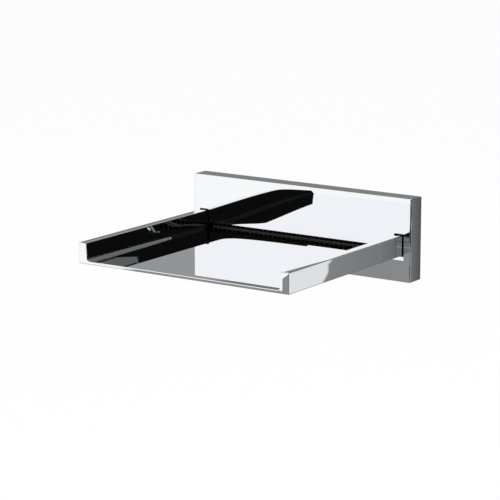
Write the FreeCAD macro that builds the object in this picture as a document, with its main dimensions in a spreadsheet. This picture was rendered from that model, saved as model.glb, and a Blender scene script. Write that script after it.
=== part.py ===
import FreeCAD, Part
import os
import Sketcher

# Wall-mounted bath spout: a hollow cover plate, an open tray for the water, and what feeds and holds them.
# Millimetres. The origin is the middle of the plate's back, in the plane of the wall.
# +X is to the right as seen from the room, +Y goes into the wall and +Z is up.
# A depth is a distance from the wall out into the room, so depth = -Y.

driving_sizes = (
    ("plate_width", 180, "cover plate, side to side"),
    ("plate_height", 58, "cover plate, bottom to top"),
    ("plate_depth", 13.2, "cover plate, rim to front"),
    ("plate_wall", 2.5, "thickness of the plate's front and sides"),
    ("plate_edge_radius", 1, "rounding of the plate's outer edges"),
    ("wall_gasket_thickness", 1, "soft ring between the plate and the tiles"),
    ("wall_gasket_inset", 0.3, "plate's side to the ring"),
    ("wall_gasket_width", 1.8, "width of the ring's strip"),
    ("tray_margin", 6.2, "plate's side to the tray's side"),
    ("tray_projection", 141, "plate's front to the tray's front end"),
    ("tray_height", 14.2, "tray's underside to the top of its walls"),
    ("tray_drop", 10.6, "plate's middle down to the tray's underside"),
    ("tray_wall", 6.2, "thickness of the tray's side walls at the top"),
    ("tray_wall_foot", 7, "thickness of the tray's side walls at the floor"),
    ("tray_floor", 2, "thickness of the tray's floor"),
    ("tray_fillet", 2, "inside rounding between floor and walls"),
    ("tray_lip_radius", 0.3, "rounding of the walls' inner top edges"),
    ("tray_edge_radius", 0.5, "rounding of the tray's long outer edges"),
    ("tray_end_radius", 0.4, "rounding of the tray's front end"),
    ("tray_fit", 0.8, "clearance of the tray in the plate's opening"),
    ("slot_height", 3.5, "water slot above the tray's floor"),
    ("flange_thickness", 2, "tray's flange behind the plate's front"),
    ("core_side_gap", 1.5, "flange and chamber to the plate's sides"),
    ("core_top_gap", 10, "flange and chamber to the plate's top wall"),
    ("tray_gasket_thickness", 0.8, "gasket between flange and chamber"),
    ("chamber_back", 2.5, "thickness of the chamber's back"),
    ("cavity_headroom", 1.8, "supply bore to the top of the chamber's cavity"),
    ("ledge_width", 1.5, "ledge that the distributor sits on"),
    ("socket_radius", 8.2, "bore of the supply socket"),
    ("socket_wall", 3.3, "wall of the supply socket"),
    ("socket_reach", 10, "supply socket behind the plane of the wall"),
    ("socket_lead", 0.8, "chamfer at the mouth of the supply socket"),
    ("socket_rim", 1.5, "step of the supply socket's rim"),
    ("socket_rim_depth", 1.2, "rim of the supply socket, let into the chamber's back"),
    ("braze_gap", 0.05, "supply socket to its seat in the chamber"),
    ("distributor_thickness", 1, "sheet of the distributor"),
    ("distributor_fit", 0.2, "distributor to the cavity's sides"),
    ("distributor_end_gap", 0.05, "distributor's lips to the tray's flange"),
    ("distributor_hole_radius", 1.1, "holes of the distributor"),
    ("distributor_hole_count", 24, "holes in each row of the distributor"),
    ("distributor_row_pitch", 4.6, "between the distributor's rows of holes"),
    ("distributor_hole_edge", 4, "first hole to the distributor's end"),
    ("straightener_fit", 0.15, "flow straightener in its slot"),
    ("straightener_recess", 2.2, "plate's front to the straightener's front"),
    ("straightener_reach", 0.5, "straightener behind the chamber's front"),
    ("straightener_skin", 0.5, "straightener's top and bottom strips"),
    ("vane_thickness", 0.8, "straightener's upright vanes"),
    ("channel_count", 38, "channels between the vanes"),
    ("screw_radius", 1.5, "chamber screws"),
    ("screw_head_radius", 2.75, "heads of the chamber screws"),
    ("screw_head_height", 2, "heads of the chamber screws"),
    ("screw_key", 2.5, "hexagon in the screws' heads, across flats"),
    ("screw_key_depth", 1.2, "hexagon in the screws' heads"),
    ("screw_head_gap", 0.3, "screw head below the chamber's back"),
    ("screw_clearance", 0.2, "screw to the holes that it passes"),
    ("screw_thread_fit", 0.05, "screw to the tapped holes"),
    ("screw_edge", 10, "outer screws to the chamber's sides"),
    ("screw_skin", 1, "plate left in front of the tapped holes"),
    ("screw_end_gap", 0.3, "screw's end to the bottom of its hole"),
    ("boss_radius", 3.3, "screw bosses inside the plate"),
    ("boss_fit", 0.3, "screw bosses in the flange's holes"),
    ("boss_gap", 0.1, "end of a boss below the flange's back"),
    ("washer_radius", 3, "washers of the chamber screws"),
    ("washer_thickness", 0.5, "washers of the chamber screws"),
    ("counterbore_clearance", 0.3, "washer to its counterbore"),
    ("bracket_width", 150, "wall bracket, side to side"),
    ("bracket_thickness", 1.5, "sheet of the wall bracket"),
    ("bracket_gap", 0.4, "wall bracket to the chamber's back"),
    ("bracket_bend", 1.2, "outside rounding of the bracket's folds"),
    ("bracket_hole_gap", 1.5, "supply socket to the bracket's hole"),
    ("tab_length", 8, "bracket's tabs, out from the wall"),
    ("tab_width", 24, "bracket's lower tabs, side to side"),
    ("tab_rest_gap", 0.1, "bracket's upper tab to the plate's top wall"),
    ("tab_boss_gap", 0.7, "bracket's lower tabs to the grub screw bosses"),
    ("tab_core_gap", 0.6, "bracket's lower tabs to the chamber"),
    ("wall_screw_spacing", 120, "between the bracket's two wall screw holes"),
    ("wall_screw_radius", 2.6, "bracket's wall screw holes"),
    ("grub_spacing", 120, "between the two grub screws"),
    ("grub_depth", 5, "wall to the grub screws' axes"),
    ("grub_radius", 2.5, "grub screws"),
    ("grub_fit", 0.05, "grub screw to its tapped hole"),
    ("grub_recess", 0.6, "grub screw's end inside the plate's underside"),
    ("grub_tip_gap", 0.05, "grub screw's point to the bracket's tab"),
    ("grub_point", 1.2, "length of the grub screw's conical point"),
    ("grub_point_radius", 1.2, "flat end of the grub screw's point"),
    ("grub_key", 2.5, "hexagon in the grub screws, across flats"),
    ("grub_key_depth", 2.6, "hexagon in the grub screws"),
    ("grub_boss_height", 3.2, "plate's bosses for the grub screws"),
    ("grub_boss_width", 10, "plate's bosses for the grub screws"),
    ("spigot_clearance", 0.2, "nipple's spigot in the supply socket"),
    ("spigot_tip_gap", 1.2, "end of the spigot below the chamber's cavity"),
    ("spigot_chamfer", 0.8, "chamfer at the end of the spigot"),
    ("groove_depth", 1.45, "O-ring grooves of the nipple"),
    ("groove_width", 2.2, "O-ring grooves of the nipple"),
    ("o_ring_inset", 2.2, "socket's mouth to the rear O-ring"),
    ("o_ring_spacing", 3.6, "between the two O-rings"),
    ("o_ring_fit", 0.03, "O-rings to groove and socket"),
    ("collar_gap", 0.8, "socket's mouth to the nipple's collar"),
    ("collar_thickness", 3, "nipple's collar"),
    ("collar_radius", 12.5, "nipple's collar"),
    ("seal_thickness", 2, "washer behind the collar"),
    ("seal_clearance", 0.22, "washer to the nipple's thread"),
    ("seal_inset", 0.2, "washer's rim inside the collar's"),
    ("thread_radius", 10.478, "half-inch pipe thread, outside"),
    ("thread_length", 12, "full length of the pipe thread"),
    ("thread_chamfer", 1, "chamfer at the thread's end"),
    ("relief_depth", 1.3, "groove between collar and thread"),
    ("relief_extra", 0.4, "groove beyond the washer"),
    ("nipple_bore", 5, "nipple's water way, radius"),
    ("nipple_key", 10.6, "hexagon in the nipple, across flats"),
    ("nipple_key_depth", 5.5, "hexagon in the nipple"),
    ("sieve_radius", 7.4, "strainer in the nipple's end"),
    ("sieve_fit", 0.1, "strainer to its seat"),
    ("sieve_thickness", 1, "strainer"),
    ("sieve_hole_radius", 0.8, "holes of the strainer"),
    ("sieve_ring_thickness", 1.6, "ring that holds the strainer"),
    ("sieve_ring_width", 1.6, "ring that holds the strainer"),
    ("sieve_ring_gap", 0.4, "ring below the nipple's end"),
)

doc = FreeCAD.newDocument("bath_spout")
sheet = doc.addObject("Spreadsheet::Sheet", "sizes")
for row, (name, millimetres, note) in enumerate(driving_sizes, start=1):
    sheet.set(f"A{row}", name)
    sheet.set(f"B{row}", str(millimetres))
    sheet.set(f"C{row}", note)
    sheet.setAlias(f"B{row}", name)
doc.recompute()

# Places worked out from the driving sizes, as expressions on the sheet
half_width = "(sizes.plate_width / 2)"
half_height = "(sizes.plate_height / 2)"
hollow_side = f"({half_width} - sizes.plate_wall)"
hollow_top = f"({half_height} - sizes.plate_wall)"

rim = "sizes.wall_gasket_thickness"
front = "(sizes.wall_gasket_thickness + sizes.plate_depth)"
inside = f"({front} - sizes.plate_wall)"
flange_back = f"({inside} - sizes.flange_thickness)"
chamber_front = f"({flange_back} - sizes.tray_gasket_thickness)"
chamber_rear = "(sizes.bracket_thickness + sizes.bracket_gap)"
cavity_back = f"({chamber_rear} + sizes.chamber_back)"
ledge = f"(({cavity_back} + {chamber_front} - sizes.distributor_thickness) / 2)"

tray_side = f"({half_width} - sizes.tray_margin)"
tray_inner = f"({tray_side} - sizes.tray_wall)"
foot_inner = f"({tray_side} - sizes.tray_wall_foot)"
tray_low = "(-sizes.tray_drop)"
tray_top = "(sizes.tray_height - sizes.tray_drop)"
floor_top = "(sizes.tray_floor - sizes.tray_drop)"
slot_top = f"({floor_top} + sizes.slot_height)"

tab_top = f"({hollow_top} - sizes.tab_rest_gap)"
tab_low = f"(sizes.grub_boss_height + sizes.tab_boss_gap - {hollow_top})"
core_side = f"({hollow_side} - sizes.core_side_gap)"
core_top = f"({hollow_top} - sizes.core_top_gap)"
core_low = f"({tab_low} + sizes.bracket_thickness + sizes.tab_core_gap)"
cavity_top = "(sizes.socket_radius + sizes.cavity_headroom)"
socket_outer = "(sizes.socket_radius + sizes.socket_wall)"
socket_rim_front = f"({chamber_rear} + sizes.socket_rim_depth)"
slot_side = f"({foot_inner} - sizes.tray_fillet)"

screw_high = f"(({cavity_top} + {core_top}) / 2)"
screw_low = f"(({tray_low} - sizes.tray_fit + {core_low}) / 2)"
screw_out = f"({core_side} - sizes.screw_edge)"
screw_places = [
    (f"({share} * {screw_out})", height)
    for height in (screw_high, screw_low)
    for share in ("-1", "-1 / 3", "1 / 3", "1")
]
washer_seat = (
    f"({chamber_rear} + sizes.screw_head_gap + sizes.screw_head_height"
    " + sizes.washer_thickness)"
)
screw_hole_end = f"({front} - sizes.screw_skin)"
grub_sides = (("left", "(-sizes.grub_spacing / 2)"), ("right", "(sizes.grub_spacing / 2)"))

spigot_radius = "(sizes.socket_radius - sizes.spigot_clearance)"
spigot_end = f"({cavity_back} - sizes.spigot_tip_gap)"
groove_radius = f"({spigot_radius} - sizes.groove_depth)"
rear_ring = "(sizes.socket_reach - sizes.o_ring_inset)"
front_ring = f"({rear_ring} - sizes.o_ring_spacing)"
collar_face = "(sizes.socket_reach + sizes.collar_gap)"
collar_back = f"({collar_face} + sizes.collar_thickness)"
relief_radius = "(sizes.thread_radius - sizes.relief_depth)"
thread_start = f"({collar_back} + sizes.seal_thickness + sizes.relief_extra)"
thread_end = f"({thread_start} + sizes.thread_length)"
nipple_end = f"({thread_end} + sizes.thread_chamfer)"
sieve_ring_end = f"({nipple_end} - sizes.sieve_ring_gap)"
sieve_face = f"({sieve_ring_end} - sizes.sieve_ring_thickness)"
sieve_seat = f"({sieve_face} - sizes.sieve_thickness)"
sieve_seat_radius = "(sizes.sieve_radius + sizes.sieve_fit)"

pieces = []


def value(expression):
    """The number that an expression on the sheet gives now."""
    return float(sheet.evalExpression(expression))


def new_body(label):
    """An empty body that becomes one node."""
    body = doc.addObject("PartDesign::Body", label)
    body.Label = label
    body.AllowCompound = True
    pieces.append(body)
    return body


def sketch(body, name, offset="0", role="XZ_Plane"):
    """A sketch on one of the body's origin planes; on XZ_Plane the offset is a depth."""
    profile = body.newObject("Sketcher::SketchObject", f"{body.Name}_{name}")
    plane = next(p for p in body.Origin.OriginFeatures if p.Role == role)
    profile.AttachmentSupport = [(plane, "")]
    profile.MapMode = "FlatFace"
    profile.setExpression("AttachmentOffset.Base.z", offset)
    return profile


def tie(profile, kind, line, vertex, expression):
    """Ties one coordinate of a sketch point to an expression."""
    here = value(expression)
    if abs(here) < 1e-9:
        axis = -2 if kind == "DistanceX" else -1
        profile.addConstraint(Sketcher.Constraint("PointOnObject", line, vertex, axis))
        return
    ends = (-1, 1, line, vertex)
    if here < 0:
        ends = (line, vertex, -1, 1)
        expression = f"-({expression})"
    index = profile.addConstraint(Sketcher.Constraint(kind, *ends, abs(here)))
    profile.setExpression(f"Constraints[{index}]", expression)


def polygon(profile, corners):
    """A closed outline through corners given as pairs of expressions."""
    points = [FreeCAD.Vector(value(across), value(up), 0) for across, up in corners]
    first = profile.GeometryCount
    count = len(points)
    for i, point in enumerate(points):
        profile.addGeometry(Part.LineSegment(point, points[(i + 1) % count]))
    for i, (across, up) in enumerate(corners):
        following = first + (i + 1) % count
        profile.addConstraint(Sketcher.Constraint("Coincident", first + i, 2, following, 1))
        tie(profile, "DistanceX", first + i, 1, across)
        tie(profile, "DistanceY", first + i, 1, up)


def rectangle(profile, left, right, low, high):
    polygon(profile, [(left, low), (right, low), (right, high), (left, high)])


def circle(profile, across, up, radius):
    centre = FreeCAD.Vector(value(across), value(up), 0)
    index = profile.addGeometry(Part.Circle(centre, FreeCAD.Vector(0, 0, 1), value(radius)))
    tie(profile, "DistanceX", index, 3, across)
    tie(profile, "DistanceY", index, 3, up)
    size = profile.addConstraint(Sketcher.Constraint("Radius", index, value(radius)))
    profile.setExpression(f"Constraints[{size}]", radius)


def hexagon(profile, across, up, flats):
    """A hexagon of a given size across flats, with two corners level with its middle."""
    corner = f"{flats} / sqrt(3)"
    half = f"{flats} / 2"
    polygon(profile, [
        (f"{across} + {corner}", up),
        (f"{across} + {corner} / 2", f"{up} + {half}"),
        (f"{across} - {corner} / 2", f"{up} + {half}"),
        (f"{across} - {corner}", up),
        (f"{across} - {corner} / 2", f"{up} - {half}"),
        (f"{across} + {corner} / 2", f"{up} - {half}"),
    ])


def feature(body, kind, profile, length, reverse):
    made = body.newObject(f"PartDesign::{kind}", f"{profile.Name}_{kind}")
    made.Profile = profile
    made.Reversed = reverse
    made.setExpression("Length", length)
    doc.recompute()
    return made


def pad(body, profile, length, reverse=False):
    """Adds material along the sketch's normal: out into the room from XZ_Plane."""
    return feature(body, "Pad", profile, length, reverse)


def pocket(body, profile, length, reverse=False):
    """Cuts against the sketch's normal: towards the wall from XZ_Plane."""
    before = body.Shape.Volume
    made = feature(body, "Pocket", profile, length, reverse)
    if body.Shape.Volume >= before:
        raise ValueError(f"{made.Name} cuts nothing")
    return made


def revolve(body, profile):
    made = body.newObject("PartDesign::Revolution", f"{profile.Name}_Revolution")
    made.Profile = profile
    made.ReferenceAxis = (profile, ["V_Axis"])
    made.Angle = 360
    doc.recompute()
    return made


def dress(body, kind, size_name, size, chosen):
    """Rounds or chamfers the edges of the body's last feature that a test picks."""
    base = body.Tip
    edges = [f"Edge{i}" for i, edge in enumerate(base.Shape.Edges, start=1) if chosen(edge)]
    made = body.newObject(f"PartDesign::{kind}", f"{base.Name}_{kind}")
    made.Base = (base, edges)
    made.setExpression(size_name, size)
    doc.recompute()
    return made


def fillet(body, radius, chosen):
    return dress(body, "Fillet", "Radius", radius, chosen)


def repeat(body, original, direction, length, count):
    """A row of copies of a feature over a length."""
    pattern = body.newObject("PartDesign::LinearPattern", f"{original.Name}_row")
    pattern.Originals = [original]
    pattern.Direction = direction
    pattern.setExpression("Length", length)
    pattern.setExpression("Occurrences", count)
    body.Tip = pattern
    doc.recompute()
    return pattern


def near(one, other):
    return abs(one - other) < 1e-4


def lies_at_depth(edge, depth):
    """True for an edge that lies wholly at one depth."""
    y = -value(depth)
    box = edge.BoundBox
    return near(box.YMin, y) and near(box.YMax, y)


def runs_out(edge):
    """True for a straight edge square to the wall."""
    box = edge.BoundBox
    return near(box.XMin, box.XMax) and near(box.ZMin, box.ZMax)


def runs_across(edge, y, z):
    """True for an edge along X at a given place."""
    box = edge.BoundBox
    level = near(box.ZMin, z) and near(box.ZMax, z)
    return level and near(box.YMin, y) and near(box.YMax, y)


def core_outline(profile):
    """The shared outline of the tray's flange, its gasket and the chamber."""
    rectangle(profile, f"-{core_side}", core_side, core_low, core_top)


def at_screws(profile, radius):
    """A circle at each chamber screw."""
    for across, up in screw_places:
        circle(profile, across, up, radius)


def make_wall_plate():
    """Hollow cover plate with its opening, screw bosses and grub screw holes."""
    body = new_body("wall_plate")
    block = sketch(body, "block", rim)
    rectangle(block, f"-{half_width}", half_width, f"-{half_height}", half_height)
    pad(body, block, "sizes.plate_depth")
    fillet(body, "sizes.plate_edge_radius", lambda edge: not lies_at_depth(edge, rim))

    hollow = sketch(body, "hollow", inside)
    rectangle(hollow, f"-{hollow_side}", hollow_side, f"-{hollow_top}", hollow_top)
    pocket(body, hollow, f"{inside} - {rim}")

    opening = sketch(body, "opening", front)
    outer = f"({tray_side} + sizes.tray_fit)"
    inner = f"({tray_inner} - sizes.tray_fit)"
    low = f"({tray_low} - sizes.tray_fit)"
    high = f"({tray_top} + sizes.tray_fit)"
    lean = "(sizes.tray_wall_foot - sizes.tray_wall) / (sizes.tray_height - sizes.tray_floor)"
    tongue = f"({inner} - {lean} * ({high} - {slot_top}))"
    polygon(opening, [
        (f"-{outer}", low), (outer, low), (outer, high), (inner, high),
        (tongue, slot_top), (f"-{tongue}", slot_top), (f"-{inner}", high), (f"-{outer}", high),
    ])
    pocket(body, opening, "sizes.plate_wall")
    fillet(body, "sizes.tray_lip_radius + sizes.tray_fit", lambda edge: (
        runs_out(edge) and near(edge.BoundBox.ZMin, value(high))
        and near(abs(edge.BoundBox.XMin), value(inner))
    ))

    bosses = sketch(body, "bosses", inside)
    at_screws(bosses, "sizes.boss_radius")
    pad(body, bosses, "sizes.flange_thickness - sizes.boss_gap", reverse=True)
    tapped = sketch(body, "tapped", screw_hole_end)
    at_screws(tapped, "(sizes.screw_radius + sizes.screw_thread_fit)")
    pocket(body, tapped, f"{screw_hole_end} - {flange_back}")

    grub_bosses = sketch(body, "grub_bosses", inside)
    for _, across in grub_sides:
        half = "sizes.grub_boss_width / 2"
        rise = f"(sizes.grub_boss_height - {hollow_top})"
        rectangle(grub_bosses, f"{across} - {half}", f"{across} + {half}", f"-{hollow_top}", rise)
    pad(body, grub_bosses, f"{inside} - {rim}", reverse=True)
    grub_holes = sketch(body, "grub_holes", f"-{half_height}", "XY_Plane")
    for _, across in grub_sides:
        circle(grub_holes, across, "-sizes.grub_depth", "(sizes.grub_radius + sizes.grub_fit)")
    pocket(body, grub_holes, "sizes.plate_wall + sizes.grub_boss_height", reverse=True)


def make_spout_tray():
    """Open tray: floor and side walls in front, flange with the water window behind the plate."""
    body = new_body("spout_tray")
    flange = sketch(body, "flange", flange_back)
    core_outline(flange)
    pad(body, flange, "sizes.flange_thickness")

    channel = sketch(body, "channel", inside)
    polygon(channel, [
        (f"-{tray_side}", tray_low), (tray_side, tray_low), (tray_side, tray_top),
        (tray_inner, tray_top), (foot_inner, floor_top), (f"-{foot_inner}", floor_top),
        (f"-{tray_inner}", tray_top), (f"-{tray_side}", tray_top),
    ])
    pad(body, channel, "sizes.plate_wall + sizes.tray_projection")

    run = value("sizes.plate_wall + sizes.tray_projection")
    fillet(body, "sizes.tray_fillet", lambda edge: (
        runs_out(edge) and near(edge.Length, run) and near(edge.BoundBox.ZMin, value(floor_top))
    ))
    fillet(body, "sizes.tray_lip_radius", lambda edge: (
        runs_out(edge) and near(edge.Length, run) and near(abs(edge.BoundBox.XMin), value(tray_inner))
        and near(edge.BoundBox.ZMin, value(tray_top))
    ))
    fillet(body, "sizes.tray_edge_radius", lambda edge: (
        runs_out(edge) and near(edge.Length, run) and near(abs(edge.BoundBox.XMin), value(tray_side))
    ))
    fillet(body, "sizes.tray_end_radius", lambda edge: (
        lies_at_depth(edge, f"{front} + sizes.tray_projection")
    ))

    window = sketch(body, "window", inside)
    rectangle(window, f"-{slot_side}", slot_side, floor_top, slot_top)
    pocket(body, window, "sizes.flange_thickness")
    boss_holes = sketch(body, "boss_holes", inside)
    at_screws(boss_holes, "(sizes.boss_radius + sizes.boss_fit)")
    pocket(body, boss_holes, "sizes.flange_thickness")


def make_water_chamber():
    """Brass chamber: stepped cavity, seat for the supply socket and counterbored screw holes."""
    body = new_body("water_chamber")
    block = sketch(body, "block", chamber_rear)
    core_outline(block)
    pad(body, block, f"{chamber_front} - {chamber_rear}")
    cavity = sketch(body, "cavity", chamber_front)
    rectangle(cavity, f"-{tray_inner}", tray_inner, floor_top, cavity_top)
    pocket(body, cavity, f"{chamber_front} - {ledge}")
    well = sketch(body, "well", ledge)
    rectangle(
        well, f"-({tray_inner} - sizes.ledge_width)", f"({tray_inner} - sizes.ledge_width)",
        f"({floor_top} + sizes.ledge_width)", f"({cavity_top} - sizes.ledge_width)",
    )
    pocket(body, well, f"{ledge} - {cavity_back}")
    seat = sketch(body, "seat", cavity_back)
    circle(seat, "0", "0", f"({socket_outer} + sizes.braze_gap)")
    pocket(body, seat, f"{cavity_back} - {chamber_rear}")
    rim_seat = sketch(body, "rim_seat", socket_rim_front)
    circle(rim_seat, "0", "0", f"({socket_outer} + sizes.socket_rim + sizes.braze_gap)")
    pocket(body, rim_seat, "sizes.socket_rim_depth")

    holes = sketch(body, "screw_holes", chamber_front)
    at_screws(holes, "(sizes.screw_radius + sizes.screw_clearance)")
    pocket(body, holes, f"{chamber_front} - {chamber_rear}")
    counterbores = sketch(body, "counterbores", washer_seat)
    at_screws(counterbores, "(sizes.washer_radius + sizes.counterbore_clearance)")
    pocket(body, counterbores, f"{washer_seat} - {chamber_rear}")


def make_supply_socket():
    """Turned brass socket, brazed into the chamber's back, that takes the nipple's spigot."""
    body = new_body("supply_socket")
    half = sketch(body, "half", "0", "XY_Plane")
    rim_radius = f"({socket_outer} + sizes.socket_rim)"
    polygon(half, [
        ("sizes.socket_radius", f"-{cavity_back}"), (socket_outer, f"-{cavity_back}"),
        (socket_outer, f"-{socket_rim_front}"), (rim_radius, f"-{socket_rim_front}"),
        (rim_radius, f"-{chamber_rear}"), (socket_outer, f"-{chamber_rear}"),
        (socket_outer, "sizes.socket_reach"),
        ("(sizes.socket_radius + sizes.socket_lead)", "sizes.socket_reach"),
        ("sizes.socket_radius", "(sizes.socket_reach - sizes.socket_lead)"),
    ])
    revolve(body, half)


def make_tray_gasket():
    """Flat gasket between the tray's flange and the chamber."""
    body = new_body("tray_gasket")
    sheet_outline = sketch(body, "outline", chamber_front)
    core_outline(sheet_outline)
    rectangle(sheet_outline, f"-{tray_inner}", tray_inner, floor_top, cavity_top)
    at_screws(sheet_outline, "(sizes.screw_radius + sizes.screw_clearance)")
    pad(body, sheet_outline, "sizes.tray_gasket_thickness")


def make_wall_gasket():
    """Soft ring on the plate's rim."""
    body = new_body("wall_gasket")
    ring = sketch(body, "ring")
    for inset in ("sizes.wall_gasket_inset", "(sizes.wall_gasket_inset + sizes.wall_gasket_width)"):
        side = f"({half_width} - {inset})"
        top = f"({half_height} - {inset})"
        rectangle(ring, f"-{side}", side, f"-{top}", top)
    pad(body, ring, "sizes.wall_gasket_thickness")


def make_chamber_screws():
    """Eight socket-head screws from the chamber into the plate, and their washers."""
    screws = new_body("chamber_screws")
    head_front = f"({washer_seat} - sizes.washer_thickness)"
    head_back = f"({head_front} - sizes.screw_head_height)"
    shanks = sketch(screws, "shanks", head_front)
    at_screws(shanks, "sizes.screw_radius")
    pad(screws, shanks, f"{screw_hole_end} - sizes.screw_end_gap - {head_front}")
    heads = sketch(screws, "heads", head_back)
    at_screws(heads, "sizes.screw_head_radius")
    pad(screws, heads, "sizes.screw_head_height")
    keys = sketch(screws, "keys", head_back)
    for across, up in screw_places:
        hexagon(keys, across, up, "sizes.screw_key")
    pocket(screws, keys, "sizes.screw_key_depth", reverse=True)

    washers = new_body("chamber_screw_washers")
    rings = sketch(washers, "rings", head_front)
    at_screws(rings, "sizes.washer_radius")
    at_screws(rings, "(sizes.screw_radius + sizes.screw_clearance)")
    pad(washers, rings, "sizes.washer_thickness")


def make_distributor_plate():
    """Perforated sheet on the chamber's ledge, held there by lips that reach the tray's flange."""
    body = new_body("distributor_plate")
    side = f"({tray_inner} - sizes.distributor_fit)"
    low = f"({floor_top} + sizes.distributor_fit)"
    high = f"({cavity_top} - sizes.distributor_fit)"
    strip = sketch(body, "strip", ledge)
    rectangle(strip, f"-{side}", side, low, high)
    pad(body, strip, "sizes.distributor_thickness")
    lips = sketch(body, "lips", ledge)
    lip_side = f"({side} - sizes.distributor_thickness)"
    polygon(lips, [
        (f"-{side}", low), (f"-{lip_side}", low),
        (f"-{lip_side}", f"{high} - sizes.distributor_thickness"),
        (lip_side, f"{high} - sizes.distributor_thickness"),
        (lip_side, low), (side, low), (side, high), (f"-{side}", high),
    ])
    pad(body, lips, f"{flange_back} - sizes.distributor_end_gap - {ledge}")

    first = f"({side} - sizes.distributor_hole_edge)"
    middle = f"(({low} + {high}) / 2)"
    holes = sketch(body, "holes", f"{ledge} + sizes.distributor_thickness")
    for level in ("-1", "0", "1"):
        up = f"{middle} + {level} * sizes.distributor_row_pitch"
        circle(holes, f"-{first}", up, "sizes.distributor_hole_radius")
    punched = pocket(body, holes, "sizes.distributor_thickness")
    repeat(body, punched, (holes, ["H_Axis"]), f"2 * {first}", "sizes.distributor_hole_count")


def make_flow_straightener():
    """Comb of upright vanes that slides into the water slot."""
    body = new_body("flow_straightener")
    side = f"({slot_side} - sizes.straightener_fit)"
    low = f"({floor_top} + sizes.straightener_fit)"
    high = f"({slot_top} - sizes.straightener_fit)"
    back = f"({chamber_front} - sizes.straightener_reach)"
    face = f"({front} - sizes.straightener_recess)"
    block = sketch(body, "block", back)
    rectangle(block, f"-{side}", side, low, high)
    pad(body, block, f"{face} - {back}")
    pitch = f"((2 * {side} - sizes.vane_thickness) / sizes.channel_count)"
    start = f"(sizes.vane_thickness - {side})"
    channel = sketch(body, "channel", face)
    rectangle(
        channel, start, f"{start} + {pitch} - sizes.vane_thickness",
        f"{low} + sizes.straightener_skin", f"{high} - sizes.straightener_skin",
    )
    first = pocket(body, channel, f"{face} - {back}")
    span = f"{pitch} * (sizes.channel_count - 1)"
    repeat(body, first, (channel, ["H_Axis"]), span, "sizes.channel_count")


def make_grub_screws():
    """Two set screws in the plate's underside that bear on the bracket's lower tabs."""
    low = f"(sizes.grub_recess - {half_height})"
    tip = f"({tab_low} - sizes.grub_tip_gap)"
    for side, across in grub_sides:
        body = new_body(f"grub_screw_{side}")
        half = sketch(body, "half")
        polygon(half, [
            ("0", low), ("sizes.grub_radius", low),
            ("sizes.grub_radius", f"{tip} - sizes.grub_point"),
            ("sizes.grub_point_radius", tip), ("0", tip),
        ])
        revolve(body, half)
        key = sketch(body, "key", low, "XY_Plane")
        hexagon(key, "0", "0", "sizes.grub_key")
        pocket(body, key, "sizes.grub_key_depth", reverse=True)
        body.setExpression("Placement.Base.x", across)
        body.setExpression("Placement.Base.y", "-sizes.grub_depth")


def make_wall_bracket():
    """Folded sheet bracket: back, upper tab that the plate hangs on, two lower tabs for the grub screws."""
    body = new_body("wall_bracket")
    half = "(sizes.bracket_width / 2)"
    back = sketch(body, "back")
    rectangle(back, f"-{half}", half, tab_low, tab_top)
    circle(back, "0", "0", f"({socket_outer} + sizes.bracket_hole_gap)")
    screw_level = f"(({core_top} + {tab_top} - sizes.bracket_thickness) / 2)"
    for sign in ("-1", "1"):
        circle(back, f"{sign} * sizes.wall_screw_spacing / 2", screw_level, "sizes.wall_screw_radius")
    pad(body, back, "sizes.bracket_thickness")
    tabs = sketch(body, "tabs")
    rectangle(tabs, f"-{half}", half, f"{tab_top} - sizes.bracket_thickness", tab_top)
    for _, across in grub_sides:
        reach = "sizes.tab_width / 2"
        rectangle(
            tabs, f"{across} - {reach}", f"{across} + {reach}",
            tab_low, f"{tab_low} + sizes.bracket_thickness",
        )
    pad(body, tabs, "sizes.tab_length")
    upper = value(tab_top)
    fillet(body, "sizes.bracket_bend", lambda edge: runs_across(edge, 0, upper))


def make_inlet_nipple():
    """Turned nipple: spigot with two O-ring grooves, collar, half-inch pipe thread and strainer seat."""
    body = new_body("inlet_nipple")
    grooves = []
    for ring in (front_ring, rear_ring):
        first = f"{ring} - sizes.groove_width / 2"
        last = f"{ring} + sizes.groove_width / 2"
        grooves += [
            (spigot_radius, first), (groove_radius, first),
            (groove_radius, last), (spigot_radius, last),
        ]
    half = sketch(body, "half", "0", "XY_Plane")
    polygon(half, [
        ("sizes.nipple_bore", f"-{spigot_end}"),
        (f"{spigot_radius} - sizes.spigot_chamfer", f"-{spigot_end}"),
        (spigot_radius, f"sizes.spigot_chamfer - {spigot_end}"),
        *grooves,
        (spigot_radius, collar_face), ("sizes.collar_radius", collar_face),
        ("sizes.collar_radius", collar_back), (relief_radius, collar_back),
        (relief_radius, thread_start), ("sizes.thread_radius", thread_start),
        ("sizes.thread_radius", thread_end),
        ("sizes.thread_radius - sizes.thread_chamfer", nipple_end),
        (sieve_seat_radius, nipple_end), (sieve_seat_radius, sieve_seat),
        ("sizes.nipple_bore", sieve_seat),
    ])
    revolve(body, half)
    key = sketch(body, "key", spigot_end)
    hexagon(key, "0", "0", "sizes.nipple_key")
    pocket(body, key, "sizes.nipple_key_depth")


def make_o_rings():
    """Seals squeezed between the nipple's grooves and the socket."""
    section = f"((sizes.socket_radius - {groove_radius}) / 2 - sizes.o_ring_fit)"
    for place, ring in (("front", front_ring), ("rear", rear_ring)):
        torus = doc.addObject("Part::Torus", f"nipple_o_ring_{place}")
        torus.Label = f"nipple_o_ring_{place}"
        torus.setExpression("Radius1", f"(sizes.socket_radius + {groove_radius}) / 2")
        torus.setExpression("Radius2", section)
        torus.Placement.Rotation = FreeCAD.Rotation(FreeCAD.Vector(1, 0, 0), 90)
        torus.setExpression("Placement.Base.y", ring)
        pieces.append(torus)


def make_ring(label, end, thickness, inner, outer):
    """A flat ring on the nipple's axis whose far face is at a given distance into the wall."""
    body = new_body(label)
    section = sketch(body, "section", f"-{end}")
    circle(section, "0", "0", outer)
    circle(section, "0", "0", inner)
    pad(body, section, thickness)


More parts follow.
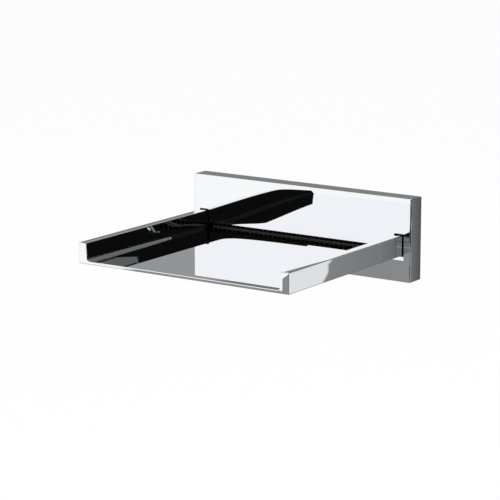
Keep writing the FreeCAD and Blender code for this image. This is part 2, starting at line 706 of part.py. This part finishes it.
def make_nipple_seals():
    """Washer behind the collar, and the ring that holds the strainer."""
    make_ring(
        "nipple_seal", f"({collar_back} + sizes.seal_thickness)", "sizes.seal_thickness",
        "(sizes.thread_radius + sizes.seal_clearance)", "(sizes.collar_radius - sizes.seal_inset)",
    )
    make_ring(
        "strainer_ring", sieve_ring_end, "sizes.sieve_ring_thickness",
        "(sizes.sieve_radius - sizes.sieve_ring_width)", "sizes.sieve_radius",
    )


def make_inlet_strainer():
    """Perforated disc: a middle hole, and a ring of six and a ring of twelve round it."""
    body = new_body("inlet_strainer")
    disc = sketch(body, "disc", f"-{sieve_face}")
    circle(disc, "0", "0", "sizes.sieve_radius")
    circle(disc, "0", "0", "sizes.sieve_hole_radius")
    pad(body, disc, "sizes.sieve_thickness")
    ring_step = "((sizes.sieve_radius - sizes.sieve_ring_width - sizes.sieve_hole_radius) / 2.2)"
    for turn, count in ((1, 6), (2, 12)):
        hole = sketch(body, f"hole_{turn}", f"-{sieve_seat}")
        circle(hole, f"{turn} * {ring_step}", "0", "sizes.sieve_hole_radius")
        drilled = pocket(body, hole, "sizes.sieve_thickness")
        pattern = body.newObject("PartDesign::PolarPattern", f"{hole.Name}_ring")
        pattern.Originals = [drilled]
        pattern.Axis = (hole, ["N_Axis"])
        pattern.Angle = 360
        pattern.Occurrences = count
        body.Tip = pattern
        doc.recompute()


make_wall_plate()
make_spout_tray()
make_water_chamber()
make_supply_socket()
make_tray_gasket()
make_wall_gasket()
make_chamber_screws()
make_distributor_plate()
make_flow_straightener()
make_grub_screws()
make_wall_bracket()
make_inlet_nipple()
make_o_rings()
make_nipple_seals()
make_inlet_strainer()
doc.recompute()

for item in doc.Objects:
    if "Invalid" in item.State or "Error" in item.State:
        raise RuntimeError(f"{item.Name} failed: {item.State}")
for piece in pieces:
    if piece.Shape.isNull() or not piece.Shape.isValid():
        raise RuntimeError(f"{piece.Label} has no valid shape")

os.makedirs("parts", exist_ok=True)
for piece in pieces:
    piece.Shape.exportStep(f"parts/{piece.Label}.step")
    print(f"{piece.Label}: {len(piece.Shape.Solids)} solids, {piece.Shape.Volume:.1f} mm3")
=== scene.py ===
import math

import bmesh
import bpy
from mathutils import Matrix, Vector


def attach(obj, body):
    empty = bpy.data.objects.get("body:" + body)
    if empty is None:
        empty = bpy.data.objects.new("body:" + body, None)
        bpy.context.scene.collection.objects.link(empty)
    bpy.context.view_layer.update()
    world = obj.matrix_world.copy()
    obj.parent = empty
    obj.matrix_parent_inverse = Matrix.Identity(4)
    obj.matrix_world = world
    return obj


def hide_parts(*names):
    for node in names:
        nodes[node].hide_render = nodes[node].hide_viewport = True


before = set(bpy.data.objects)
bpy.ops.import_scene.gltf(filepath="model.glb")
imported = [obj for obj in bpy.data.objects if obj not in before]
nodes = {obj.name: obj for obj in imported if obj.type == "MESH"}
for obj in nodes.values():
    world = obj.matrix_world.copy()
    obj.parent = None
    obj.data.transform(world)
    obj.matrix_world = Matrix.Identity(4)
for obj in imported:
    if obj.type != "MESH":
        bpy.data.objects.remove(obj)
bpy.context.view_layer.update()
millimetre = 0.001
print("frame loaded:", len(nodes), "nodes")


# Shader sockets that add their own Math nodes

class Value:
    def __init__(self, finish, node, output=0):
        self.finish = finish
        self.node = node
        self.output = output

    @property
    def socket(self):
        return self.node.outputs[self.output]

    def out(self, output):                 # another output of the same node
        return Value(self.finish, self.node, output)

    def math(self, operation, first, second=0.0):
        return self.finish.node("Math", {"operation": operation}, {0: first, 1: second})

    def __add__(self, other):
        return self.math("ADD", self, other)

    def __radd__(self, other):
        return self.math("ADD", other, self)

    def __sub__(self, other):
        return self.math("SUBTRACT", self, other)

    def __rsub__(self, other):
        return self.math("SUBTRACT", other, self)

    def __mul__(self, other):
        return self.math("MULTIPLY", self, other)

    def __rmul__(self, other):
        return self.math("MULTIPLY", other, self)

    def __abs__(self):
        return self.math("ABSOLUTE", self)

    def above(self, level):                # how far the value is above a level, never below 0
        return self.math("MAXIMUM", self - level, 0.0)


class Finish:
    def __init__(self, owner):             # a material or the world
        owner.use_nodes = True
        self.tree = owner.node_tree
        self.tree.nodes.clear()

    def node(self, kind, settings=None, inputs=None):
        made = self.tree.nodes.new("ShaderNode" + kind)
        for name, setting in (settings or {}).items():
            setattr(made, name, setting)
        for name, value in (inputs or {}).items():
            if isinstance(value, Value):
                self.tree.links.new(value.socket, made.inputs[name])
            else:
                made.inputs[name].default_value = value
        return Value(self, made)

    def place(self, stretch=(1, 1, 1)):    # the piece's own coordinates in metres, stretched by axis
        own = self.node("TexCoord").out("Object")
        return self.node("Mapping", {}, {"Vector": own, "Scale": stretch})

    def noise(self, place, scale, detail=2.0):
        return self.node("TexNoise", {}, {"Vector": place, "Scale": scale, "Detail": detail})

    def smooth(self, value, low, high):
        return self.node("MapRange", {"interpolation_type": "SMOOTHSTEP"},
                         {"Value": value, "From Min": low, "From Max": high})

    def mix(self, factor, first, second):
        return self.node("Mix", {"data_type": "RGBA"}, {"Factor": factor, 6: first, 7: second}).out(2)

    def bump(self, height, distance):
        return self.node("Bump", {}, {"Height": height, "Strength": 1.0, "Distance": distance})

    def principled(self, inputs):
        shader = self.node("BsdfPrincipled", {}, inputs)
        self.node("OutputMaterial", {}, {"Surface": shader})


def newFinish(name):
    material = bpy.data.materials.new(name)
    return material, Finish(material)


def dress(material, *names):
    for name in names:
        slots = nodes[name].data.materials
        slots.clear()
        slots.append(material)


# Chrome plate and tray

chromeFinish = {
    "tint": (0.924, 0.932, 0.955, 1),      # polished chromium
    "thin": (0.915, 0.924, 0.949, 1),      # where the plating is a shade cooler
    "tintScale": 18.0,
    "tintDetail": 3.0,
    "tintRange": (0.35, 0.7),
    "smooth": 0.004,                       # roughness
    "wiped": 0.012,                        # and with the faint marks of a cloth
    "wipeScale": 60.0,
    "wipeDetail": 4.0,
    "wipeRange": (0.45, 0.75),
    "wipeStretch": (1, 0.25, 1),
    "paintedGapShade": (0.03, 0.03, 0.03, 1),         # painted shade: near black where the tray runs into the plate's opening
    "gapShadeDepth": (-0.0139, -0.0135),          # depth at which the painted shade starts
    "waveScale": 9.0,                      # polishing waves, per metre
    "waveHeight": 0.00001,
    "waveDistance": 1.0,                   # heights are in metres
}
plateCrown = {                             # polishing leaves the plate's face a little crowned
    "halfWidth": 0.09,
    "halfHeight": 0.029,
    "waves": [                             # power across, power up, height in millimetres
        (0, 1, 0.463), (1, 0, -0.661), (0, 2, 0.248), (1, 1, 0.263), (1, 2, 0.185), (2, 1, -0.142),
        (0, 4, -0.252), (1, 3, 0.081),
    ],
    "shoulder": 0.0242,                    # from here up it rolls off to the top edge
    "shoulderRoll": 1610.0,
    "lip": 0.0051,                         # depth of the roll-off above the water slot
    "lipRoll": 1730.0,
    "front": (0.2, 0.5),                   # how far a face turns to the front
    "flat": ((0.0763, 0.0767), (0.0844, 0.0848)),      # small flat under each wall, tilted up
    "flatLow": (-0.0141, -0.0137),
    "flatTop": (-0.0105, -0.0100),
    "flatTilt": 0.013,
}
trayCrown = {                              # polishing leaves the walls a little crowned
    "inside": (0.0800, 0.0815),            # inner faces lie inside this distance from the middle
    "upright": (0.6, 0.9),                 # how far a face turns to the side
    "low": -0.0066,                        # from here up the inner faces lean and curve
    "lean": -0.0526,
    "roll": 8.12,
    "high": -0.0017,                       # and from here up they curve back
    "fall": 15.5,
    "rim": 0.0830,                         # from here inwards the walls' tops slope down to the tray
    "rimFall": 20.0,
    "rimLevel": (0.0030, 0.0034),          # only at the walls' tops
    "rimFacing": (0.88, 0.96),             # how far a face turns up
    "end": (0.85, 0.95),                   # how far a face turns to the front
    "endFoot": (0.0765, 0.0769),           # the floor's front edge stays as it is
    "endCorner": (0.0780, -0.0015),        # the walls' ends roll off above a slant through this point
    "endSlant": 0.77,
    "endStrip": (0.0789, 0.0793),          # and next to their inner edge
    "endLow": -0.0110,
    "endTilt": 0.006,
}


def wallHeight(finish, place, s):
    split = finish.node("SeparateXYZ", {}, {0: place})
    x, z = split.out("X"), split.out("Z")
    facing = finish.node("SeparateXYZ", {}, {0: finish.node("TexCoord").out("Normal")})
    sideways, forwards, upwards = facing.out("X"), 0 - facing.out("Y"), facing.out("Z")
    out = abs(x)
    inner = ((1 - finish.smooth(out, *s["inside"]))
             * finish.smooth(abs(sideways), *s["upright"]))
    rise = z.above(s["low"])
    top = z.above(s["high"])
    face = (top * top * (s["fall"] / 2) - rise * rise * (s["roll"] / 2) - rise * s["lean"]) * inner
    drop = (s["rim"] - out).above(0.0)
    rim = finish.smooth(z, *s["rimLevel"]) * finish.smooth(upwards, *s["rimFacing"])
    cornerOut, cornerUp = s["endCorner"]
    slant = (z - cornerUp - (out - cornerOut) * s["endSlant"]).above(0.0)
    strip = (z - s["endLow"]) * (1 - finish.smooth(out, *s["endStrip"]))
    end = finish.smooth(forwards, *s["end"]) * finish.smooth(out, *s["endFoot"])
    return face - drop * drop * (s["rimFall"] / 2) * rim - (slant + strip) * end * s["endTilt"]


def plateHeight(finish, place, s):
    split = finish.node("SeparateXYZ", {}, {0: place})
    x, z = split.out("X"), split.out("Z")
    across, up = x * (1 / s["halfWidth"]), z * (1 / s["halfHeight"])
    height = 0.0
    for powerAcross, powerUp, rise in s["waves"]:
        term = rise * millimetre
        for factor in [across] * powerAcross + [up] * powerUp:
            term = factor * term
        height = term + height
    top = z.above(s["shoulder"])
    low = s["lip"] - (s["lip"] - (0 - z).above(0.0)).above(0.0)
    facing = finish.node("SeparateXYZ", {}, {0: finish.node("TexCoord").out("Normal")}).out("Y")
    front = finish.smooth(0 - facing, *s["front"])
    out = abs(x)
    start, end = s["flat"]
    flat = (finish.smooth(out, *start) * (1 - finish.smooth(out, *end))
            * finish.smooth(z, *s["flatLow"]) * (1 - finish.smooth(z, *s["flatTop"])))
    height = height - top * top * top * s["shoulderRoll"] - low * low * low * s["lipRoll"]
    return (height - (z - s["flatLow"][0]) * flat * s["flatTilt"]) * front


def chromeMaterial(name, crownHeight, crown, gapShadeBehind):
    s = chromeFinish
    material, finish = newFinish(name)
    place = finish.place()
    patches = finish.smooth(finish.noise(place, s["tintScale"], s["tintDetail"]), *s["tintRange"])
    cloth = finish.noise(finish.place(s["wipeStretch"]), s["wipeScale"], s["wipeDetail"])
    wipes = finish.smooth(cloth, *s["wipeRange"])
    waves = finish.noise(place, s["waveScale"], 0.0) * s["waveHeight"]
    height = waves + crownHeight(finish, place, crown)
    colour = finish.mix(patches, s["tint"], s["thin"])
    # Painted shade: the tray's colour goes near black where it runs into the plate.
    if gapShadeBehind:
        depth = finish.node("SeparateXYZ", {}, {0: place}).out("Y")
        colour = finish.mix(finish.smooth(depth, *s["gapShadeDepth"]), colour, s["paintedGapShade"])
    finish.principled({
        "Base Color": colour,
        "Metallic": 1.0,
        "Roughness": s["smooth"] + wipes * (s["wiped"] - s["smooth"]),
        "Normal": finish.bump(height, s["waveDistance"]),
    })
    return material


dress(chromeMaterial("trayChrome", wallHeight, trayCrown, True), "spout_tray")
dress(chromeMaterial("plateChrome", plateHeight, plateCrown, False), "wall_plate")
print("chrome done")


# Brass: cast chamber, turned socket and nipple

brassFinish = {
    "fresh": (0.76, 0.56, 0.26, 1),
    "dull": (0.58, 0.40, 0.17, 1),
    "stainScale": 55.0,
    "stainDetail": 5.0,
    "stainRange": (0.35, 0.75),
    "grain": 900.0,
    "grainDetail": 3.0,
    "grainHeight": 0.00002,
    "lathePitch": 2600.0,                  # turning marks
    "latheDetail": 1.0,
    "latheStretch": (0.02, 1, 0.02),
    "latheShare": 0.6,                     # of the height on a turned piece
    "castShare": 0.15,
    "roughness": 0.22,
    "stainRoughness": 0.2,                 # added by stains and grain
    "grainRoughness": 0.08,
}


def brassMaterial(name, turned):
    s = brassFinish
    material, finish = newFinish(name)
    place = finish.place()
    stains = finish.smooth(finish.noise(place, s["stainScale"], s["stainDetail"]), *s["stainRange"])
    grain = finish.noise(place, s["grain"], s["grainDetail"])
    height = grain
    if turned:
        marks = finish.noise(finish.place(s["latheStretch"]), s["lathePitch"], s["latheDetail"])
        height = marks * s["latheShare"] + grain * s["castShare"]
    finish.principled({
        "Base Color": finish.mix(stains, s["fresh"], s["dull"]),
        "Metallic": 1.0,
        "Roughness": s["roughness"] + stains * s["stainRoughness"] + grain * s["grainRoughness"],
        "Normal": finish.bump(height, s["grainHeight"]),
    })
    return material


turnedBrass = brassMaterial("turnedBrass", True)
dress(brassMaterial("castBrass", False), "water_chamber")
dress(turnedBrass, "supply_socket")
print("brass done")


# Inlet nipple with its real pipe thread

nipple = {                                 # millimetres; y runs into the wall
    "steps": 132,
    "near": 0.01,                          # how exactly a radius is recognised
    "sharpAngle": 32,                      # degrees
    "bore": 5.0,
    "key": 10.6,                           # hexagon across flats
    "keySides": 6,
    "keyEnd": 2.3,
    "outside": [                           # radius, y, from the spigot's end to the thread
        (7.2, -3.2), (8.0, -2.4), (8.0, 3.0), (7.9, 3.1), (6.55, 3.1), (6.55, 5.3), (7.9, 5.3), (8.0, 5.4),
        (8.0, 6.6), (7.9, 6.7), (6.55, 6.7), (6.55, 8.9), (7.9, 8.9), (8.0, 9.0), (8.0, 10.8), (12.1, 10.8),
        (12.5, 11.2), (12.5, 13.5), (12.2, 13.8), (9.2, 13.8),
    ],
    "relief": 9.2,
    "threadStart": 16.2,
    "threadEnd": 29.2,
    "leadIn": 0.5,                         # where the first turn rises out of the relief
    "chamfer": 1.0,
    "major": 10.478,
    "depth": 1.162,
    "straight": 0.6,                       # share of straight flanks, the rest is rounded
    "pitch": 1.814,                        # 14 threads per inch
    "ringsPerTurn": 16,
    "seat": 7.5,                           # strainer's seat
    "seatEnd": 26.2,
}


def threadRadius(turn, y):                 # rounded V thread, cut back at both ends
    s = nipple
    phase = (y / s["pitch"] - turn) % 1.0
    flank = abs(2 * phase - 1)
    wave = 0.5 - 0.5 * math.cos(math.pi * flank)
    radius = s["major"] - s["depth"] * (s["straight"] * flank + (1 - s["straight"]) * wave)
    lead = s["relief"] + (y - s["threadStart"]) * (s["major"] - s["relief"]) / s["leadIn"]
    tail = s["major"] - s["chamfer"] + s["threadEnd"] - y
    return max(min(radius, lead, tail), s["relief"])


def nippleProfile():                       # radius and y of the half section, all the way round
    s = nipple
    profile = [(s["bore"], s["seatEnd"]), (s["bore"], s["keyEnd"]),
               (s["key"] / 2, s["keyEnd"]), (s["key"] / 2, s["outside"][0][1])]
    profile += s["outside"]
    count = round((s["threadEnd"] - s["threadStart"]) / s["pitch"] * s["ringsPerTurn"])
    step = (s["threadEnd"] - s["threadStart"]) / count
    profile += [(s["major"], s["threadStart"] + step * i) for i in range(count + 1)]
    return profile + [(s["seat"], s["threadEnd"]), (s["seat"], s["seatEnd"])]


def cutNipple(corner):                     # hexagon inside, thread outside
    s = nipple
    y = corner.co.y / millimetre
    radius = math.hypot(corner.co.x, corner.co.z) / millimetre
    turn = math.atan2(corner.co.z, corner.co.x) / (2 * math.pi)
    cut = radius
    if abs(radius - s["key"] / 2) < s["near"]:
        side = turn * s["keySides"] % 1 - 0.5
        cut = s["key"] / 2 / math.cos(side * 2 * math.pi / s["keySides"])
    if abs(radius - s["major"]) < s["near"] and y > s["threadStart"] - s["near"]:
        cut = threadRadius(turn, y)
    corner.co.x *= cut / radius
    corner.co.z *= cut / radius


def makeNipple():
    s = nipple
    mesh = bmesh.new()
    corners = [mesh.verts.new((radius * millimetre, y * millimetre, 0)) for radius, y in nippleProfile()]
    outline = [mesh.edges.new(ends) for ends in zip(corners, corners[1:] + corners[:1])]
    bmesh.ops.spin(mesh, geom=corners + outline, axis=(0, 1, 0), cent=(0, 0, 0), steps=s["steps"],
                   angle=2 * math.pi, use_merge=True)
    for corner in mesh.verts:
        cutNipple(corner)
    bmesh.ops.recalc_face_normals(mesh, faces=mesh.faces)
    data = bpy.data.meshes.new("inletNipple")
    mesh.to_mesh(data)
    mesh.free()
    data.shade_smooth()
    data.set_sharp_from_angle(angle=math.radians(s["sharpAngle"]))
    piece = bpy.data.objects.new("inletNipple", data)
    bpy.context.scene.collection.objects.link(piece)
    data.materials.append(turnedBrass)
    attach(piece, "wall_fixing")
    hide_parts("inlet_nipple")


makeNipple()
print("nipple done")


# Stainless steel: rolled sheet and turned fasteners

steelFinish = {
    "bright": (0.66, 0.665, 0.67, 1),
    "dark": (0.50, 0.505, 0.515, 1),
    "grainScale": 1400.0,
    "grainDetail": 3.0,
    "grainHeight": 0.00001,
    "grainShare": 0.6,                     # of the shade, the rest is stains
    "stainScale": 40.0,
    "stainDetail": 4.0,
    "stainRange": (0.4, 0.8),
    "roughness": 0.24,
    "grainRoughness": 0.18,
    "rolled": (0.02, 1, 1),                # grain along the sheet
    "turned": (0.05, 1, 0.05),             # grain round a screw that points to the wall
    "upright": (0.05, 0.05, 1),            # and round one that points up
    "insideShade": 0.12,                          # painted shade: how much darker the distributor is drawn, deep inside where little light reaches
}


def steelMaterial(name, stretch, shade=1.0):
    s = steelFinish
    bright, dark = [tuple(part * shade for part in s[tone][:3]) + (1,) for tone in ("bright", "dark")]
    material, finish = newFinish(name)
    grain = finish.noise(finish.place(stretch), s["grainScale"], s["grainDetail"])
    stains = finish.smooth(finish.noise(finish.place(), s["stainScale"], s["stainDetail"]), *s["stainRange"])
    worn = grain * s["grainShare"] + stains * (1 - s["grainShare"])
    finish.principled({
        "Base Color": finish.mix(worn, bright, dark),
        "Metallic": 1.0,
        "Roughness": s["roughness"] + grain * s["grainRoughness"],
        "Normal": finish.bump(grain, s["grainHeight"]),
    })
    return material


dress(steelMaterial("rolledSteel", steelFinish["rolled"]), "wall_bracket", "inlet_strainer")
# Painted shade: the distributor plate is drawn as a dark copy of the rolled steel.
dress(steelMaterial("shadedInsideSteel", steelFinish["rolled"], steelFinish["insideShade"]), "distributor_plate")
dress(steelMaterial("turnedSteel", steelFinish["turned"]), "chamber_screws", "chamber_screw_washers")
dress(steelMaterial("grubSteel", steelFinish["upright"]), "grub_screw_left", "grub_screw_right")
print("steel done")


# Rubber seals and the black plastic straightener

rubberFinish = {
    "base": (0.022, 0.022, 0.023, 1),
    "bloom": (0.055, 0.054, 0.053, 1),     # pale bloom on new rubber
    "roughness": 0.6,
    "gloss": 0.4,
    "grain": 1200.0,
    "grainHeight": 0.00002,
}
plasticFinish = {
    "base": (0.018, 0.018, 0.018, 1),
    "bloom": (0.022, 0.022, 0.023, 1),
    "roughness": 0.7,
    "gloss": 0.03,
    "grain": 2500.0,
    "grainHeight": 0.00001,
    "paintedLight": (0.07, 0.07, 0.07, 1),         # painted light: paler along its foot, brightening the bottom of the dark slot
    "paintedLightTop": (-0.0080, -0.0078),
}
darkGrain = {                              # what rubber and plastic share
    "cloudScale": 0.08,                    # of the grain's scale
    "cloudDetail": 4.0,
    "cloudRange": (0.4, 0.8),
    "speckRoughness": 0.15,
}


def darkMaterial(name, s):
    material, finish = newFinish(name)
    place = finish.place()
    clouds = finish.noise(place, s["grain"] * darkGrain["cloudScale"], darkGrain["cloudDetail"])
    cloud = finish.smooth(clouds, *darkGrain["cloudRange"])
    speck = finish.noise(place, s["grain"])
    colour = finish.mix(cloud, s["base"], s["bloom"])
    # Painted light: the straightener is drawn paler along its foot, at the bottom of the slot.
    if "paintedLight" in s:
        up = finish.node("SeparateXYZ", {}, {0: place}).out("Z")
        colour = finish.mix(finish.smooth(up, *s["paintedLightTop"]), s["paintedLight"], colour)
    finish.principled({
        "Base Color": colour,
        "Roughness": s["roughness"] + speck * darkGrain["speckRoughness"],
        "Specular IOR Level": s["gloss"],
        "Normal": finish.bump(speck, s["grainHeight"]),
    })
    return material


dress(darkMaterial("mattRubber", rubberFinish), "wall_gasket", "tray_gasket", "nipple_o_ring_front",
      "nipple_o_ring_rear", "nipple_seal", "strainer_ring")
dress(darkMaterial("blackPlastic", plasticFinish), "flow_straightener")
print("rubber and plastic done")


# Studio: a white tent with the grey and black boards that the chrome mirrors

studio = {
    "matt": 0.8,                           # what matt surfaces receive from all round
    "tent": 1.0,                           # white cloth, as metal sees it
    "edge": 0.04,                          # softness of a board's edge, degrees
    "bends": [                             # elevation from and to, share of a board's sway
        (-12.95, -12.55, 1.0), (-12.42, -12.25, 0.6),
    ],
    # Azimuth from and to, from the front round to the left; elevation from and to;
    # brightness at both ends; sway. A later board hangs in front of an earlier one.
    "boards": [
        (-190, 190, -90, -12.5, 0.262, 0.262, 0),      # grey table
        (-190, -100, -40, 0, 0.262, 0.262, 0),         # backdrop, right
        (-190, -150.4, -40, 0, 0.334, 0.05, 0),
        (-150.4, -149.88, -40, 0, 0.05, 0.21, 0),
        (-149.88, -149.2, -40, 0, 0.125, 0.19, 0),
        (-149.2, -147.715, -40, 0, 0.19, 0.24, 0),
        (-147.715, -141, -40, 0, 0.79, 0.79, 0.16),
        (100, 190, -12.5, 9, 0.06, 0.06, 0),           # backdrop, left
        (100, 190, 9, 20, 0.31, 0.31, 0),
        (100, 190, 9, 11.3, 0.22, 0.22, 0),
        (100, 190, 11.3, 11.92, 0.15, 0.15, 0),
        (100, 190, 12.8, 15.2, 0.17, 0.17, 0),
        (-190, -150, 0, 20, 0.333, 0.10, 0),           # upper backdrop, right
        (-150, -120, 0, 20, 0.012, 0.012, 0),
        (-150, -120, 14, 17.3, 0.115, 0.115, 0),
        (140, 190, 20, 45, 0.17, 0.17, 0),             # above the backdrop
        (-190, -168, 20, 45, 0.17, 0.17, 0),
        (-168, -140, 20, 45, 0.12, 0.12, 0),
        (-141, -50, -11.9, 20, 0.20, 0.02, 0),         # dim to the right
        (-141, -36, -23, -11.9, 0.10, 0.10, 0),        # table's dark edge to the right
        (-141, -36, -23, -13.85, 0.03, 0.03, 0),
        (-36, -14, -23, -11.9, 0.17, 0.17, 0),
        (-36, -27, -14.2, -13.95, 0.01, 0.01, 0),
        (-27, -2, -14.9, -13.85, 0.02, 0.02, 0),
        (-50, -14, -11.9, 21, 0.004, 0.004, 0),        # dark room behind the camera
        (-140, -40, 20, 60, 0.02, 0.02, 0),            # dark overhead
        (-140, -40, 33, 60, 0.115, 0.115, 0),
        (-40, 31.2, 20, 60, 0.012, 0.004, 0),
        (36.8, 42, -1, 14.5, 0.01, 0.01, 0),           # narrow dark board to the left
        (37.4, 37.65, 3.6, 4.3, 1.0, 1.0, 0),          # and the small opening in it
    ],
}


def board(finish, azimuth, elevation, level, spec):
    left, right, low, high, first, last, sway = spec
    edge = studio["edge"]
    across = azimuth
    if sway:
        for bendLow, bendHigh, share in studio["bends"]:
            across = across + finish.smooth(elevation, bendLow, bendHigh) * (share * sway)
    inside = (finish.smooth(across, left - edge, left + edge)
              * (1 - finish.smooth(across, right - edge, right + edge))
              * finish.smooth(elevation, low - edge, low + edge)
              * (1 - finish.smooth(elevation, high - edge, high + edge)))
    brightness = first
    if first != last:
        brightness = first + (across - left) * ((last - first) / (right - left))
    return level + (brightness - level) * inside


def lightStudio():
    s = studio
    world = bpy.data.worlds.new("studio")
    bpy.context.scene.world = world
    finish = Finish(world)
    ray = finish.node("SeparateXYZ", {}, {0: finish.node("TexCoord").out("Generated")})
    x, y, z = ray.out("X"), ray.out("Y"), ray.out("Z")
    degrees = math.degrees(1)
    azimuth = x.math("ARCTAN2", 0 - x, 0 - y) * degrees
    elevation = z.math("ARCSINE", z) * degrees
    level = s["tent"]
    for spec in s["boards"]:
        level = board(finish, azimuth, elevation, level, spec)
    path = finish.node("LightPath")
    camera, glossy = path.out("Is Camera Ray"), path.out("Is Glossy Ray")
    strength = camera + (1 - camera) * (glossy * level + (1 - glossy) * s["matt"])
    background = finish.node("Background", {}, {"Color": (1, 1, 1, 1), "Strength": strength})
    finish.node("OutputWorld", {}, {"Surface": background})


lightStudio()
print("studio lit")


# Pale floor well below the spout, and three soft lamps

stage = {
    "floorHeight": -0.55,
    "floorSize": 60.0,
    "floorColour": (0.86, 0.86, 0.86, 1),
    "floorGrain": 900.0,
    "floorRoughness": 0.4,
    "grainRoughness": 0.2,
    "floorGlow": 0.92,                     # share of plain white that the camera sees
    "lamps": [                             # name, place, size, watts
        ("keyLamp", (-1.1, -1.6, 1.7), 1.4, 26.0),
        ("fillLamp", (1.7, -0.6, 1.1), 1.2, 10.0),
        ("backLamp", (0.3, 1.8, 1.2), 1.2, 10.0),
    ],
}


def makeFloor():
    s = stage
    mesh = bmesh.new()
    bmesh.ops.create_grid(mesh, x_segments=1, y_segments=1, size=s["floorSize"] / 2,
                          matrix=Matrix.Translation((0, 0, s["floorHeight"])))
    data = bpy.data.meshes.new("floor")
    mesh.to_mesh(data)
    mesh.free()
    floor = bpy.data.objects.new("floor", data)
    bpy.context.scene.collection.objects.link(floor)
    floor.visible_glossy = False           # metal sees the studio's table instead
    material, finish = newFinish("paleFloor")
    speck = finish.noise(finish.place(), s["floorGrain"])
    roughness = s["floorRoughness"] + speck * s["grainRoughness"]
    matt = finish.node("BsdfDiffuse", {}, {"Color": s["floorColour"], "Roughness": roughness})
    white = finish.node("Emission", {}, {"Color": (1, 1, 1, 1), "Strength": 1.0})
    clear = finish.node("BsdfTransparent")
    seen = finish.node("LightPath").out("Is Camera Ray") * s["floorGlow"]
    shown = finish.node("MixShader", {}, {0: seen, 1: matt, 2: white})
    below = finish.node("NewGeometry").out("Backfacing")       # clear from below
    surface = finish.node("MixShader", {}, {0: below, 1: shown, 2: clear})
    finish.node("OutputMaterial", {}, {"Surface": surface})
    data.materials.append(material)


def hangLamps():
    for name, place, size, watts in stage["lamps"]:
        data = bpy.data.lights.new(name, "AREA")
        data.shape = "DISK"
        data.size = size
        data.energy = watts
        lamp = bpy.data.objects.new(name, data)
        bpy.context.scene.collection.objects.link(lamp)
        lamp.location = place
        lamp.rotation_euler = (-Vector(place)).to_track_quat("-Z", "Y").to_euler()
        lamp.visible_glossy = False        # metal sees the studio's cloth instead


makeFloor()
hangLamps()
print("floor and lamps done")


# Camera at the photograph's angle

camera = {
    "lens": 162.3,
    "sensor": 36.0,
    "azimuth": 34.16,
    "elevation": 12.03,
    "location": (0.8374, -1.30905, 0.3120),
}


def placeCamera():
    s = camera
    data = bpy.data.cameras.new("camera")
    data.lens = s["lens"]
    data.sensor_width = s["sensor"]
    viewer = bpy.data.objects.new("camera", data)
    bpy.context.scene.collection.objects.link(viewer)
    around = math.radians(s["azimuth"])
    above = math.radians(s["elevation"])
    back = Vector((math.sin(around) * math.cos(above), -math.cos(around) * math.cos(above), math.sin(above)))
    viewer.location = s["location"]
    viewer.rotation_euler = (-back).to_track_quat("-Z", "Y").to_euler()
    bpy.context.scene.camera = viewer


placeCamera()
bpy.context.scene.view_settings.view_transform = "Standard"
print("camera placed")
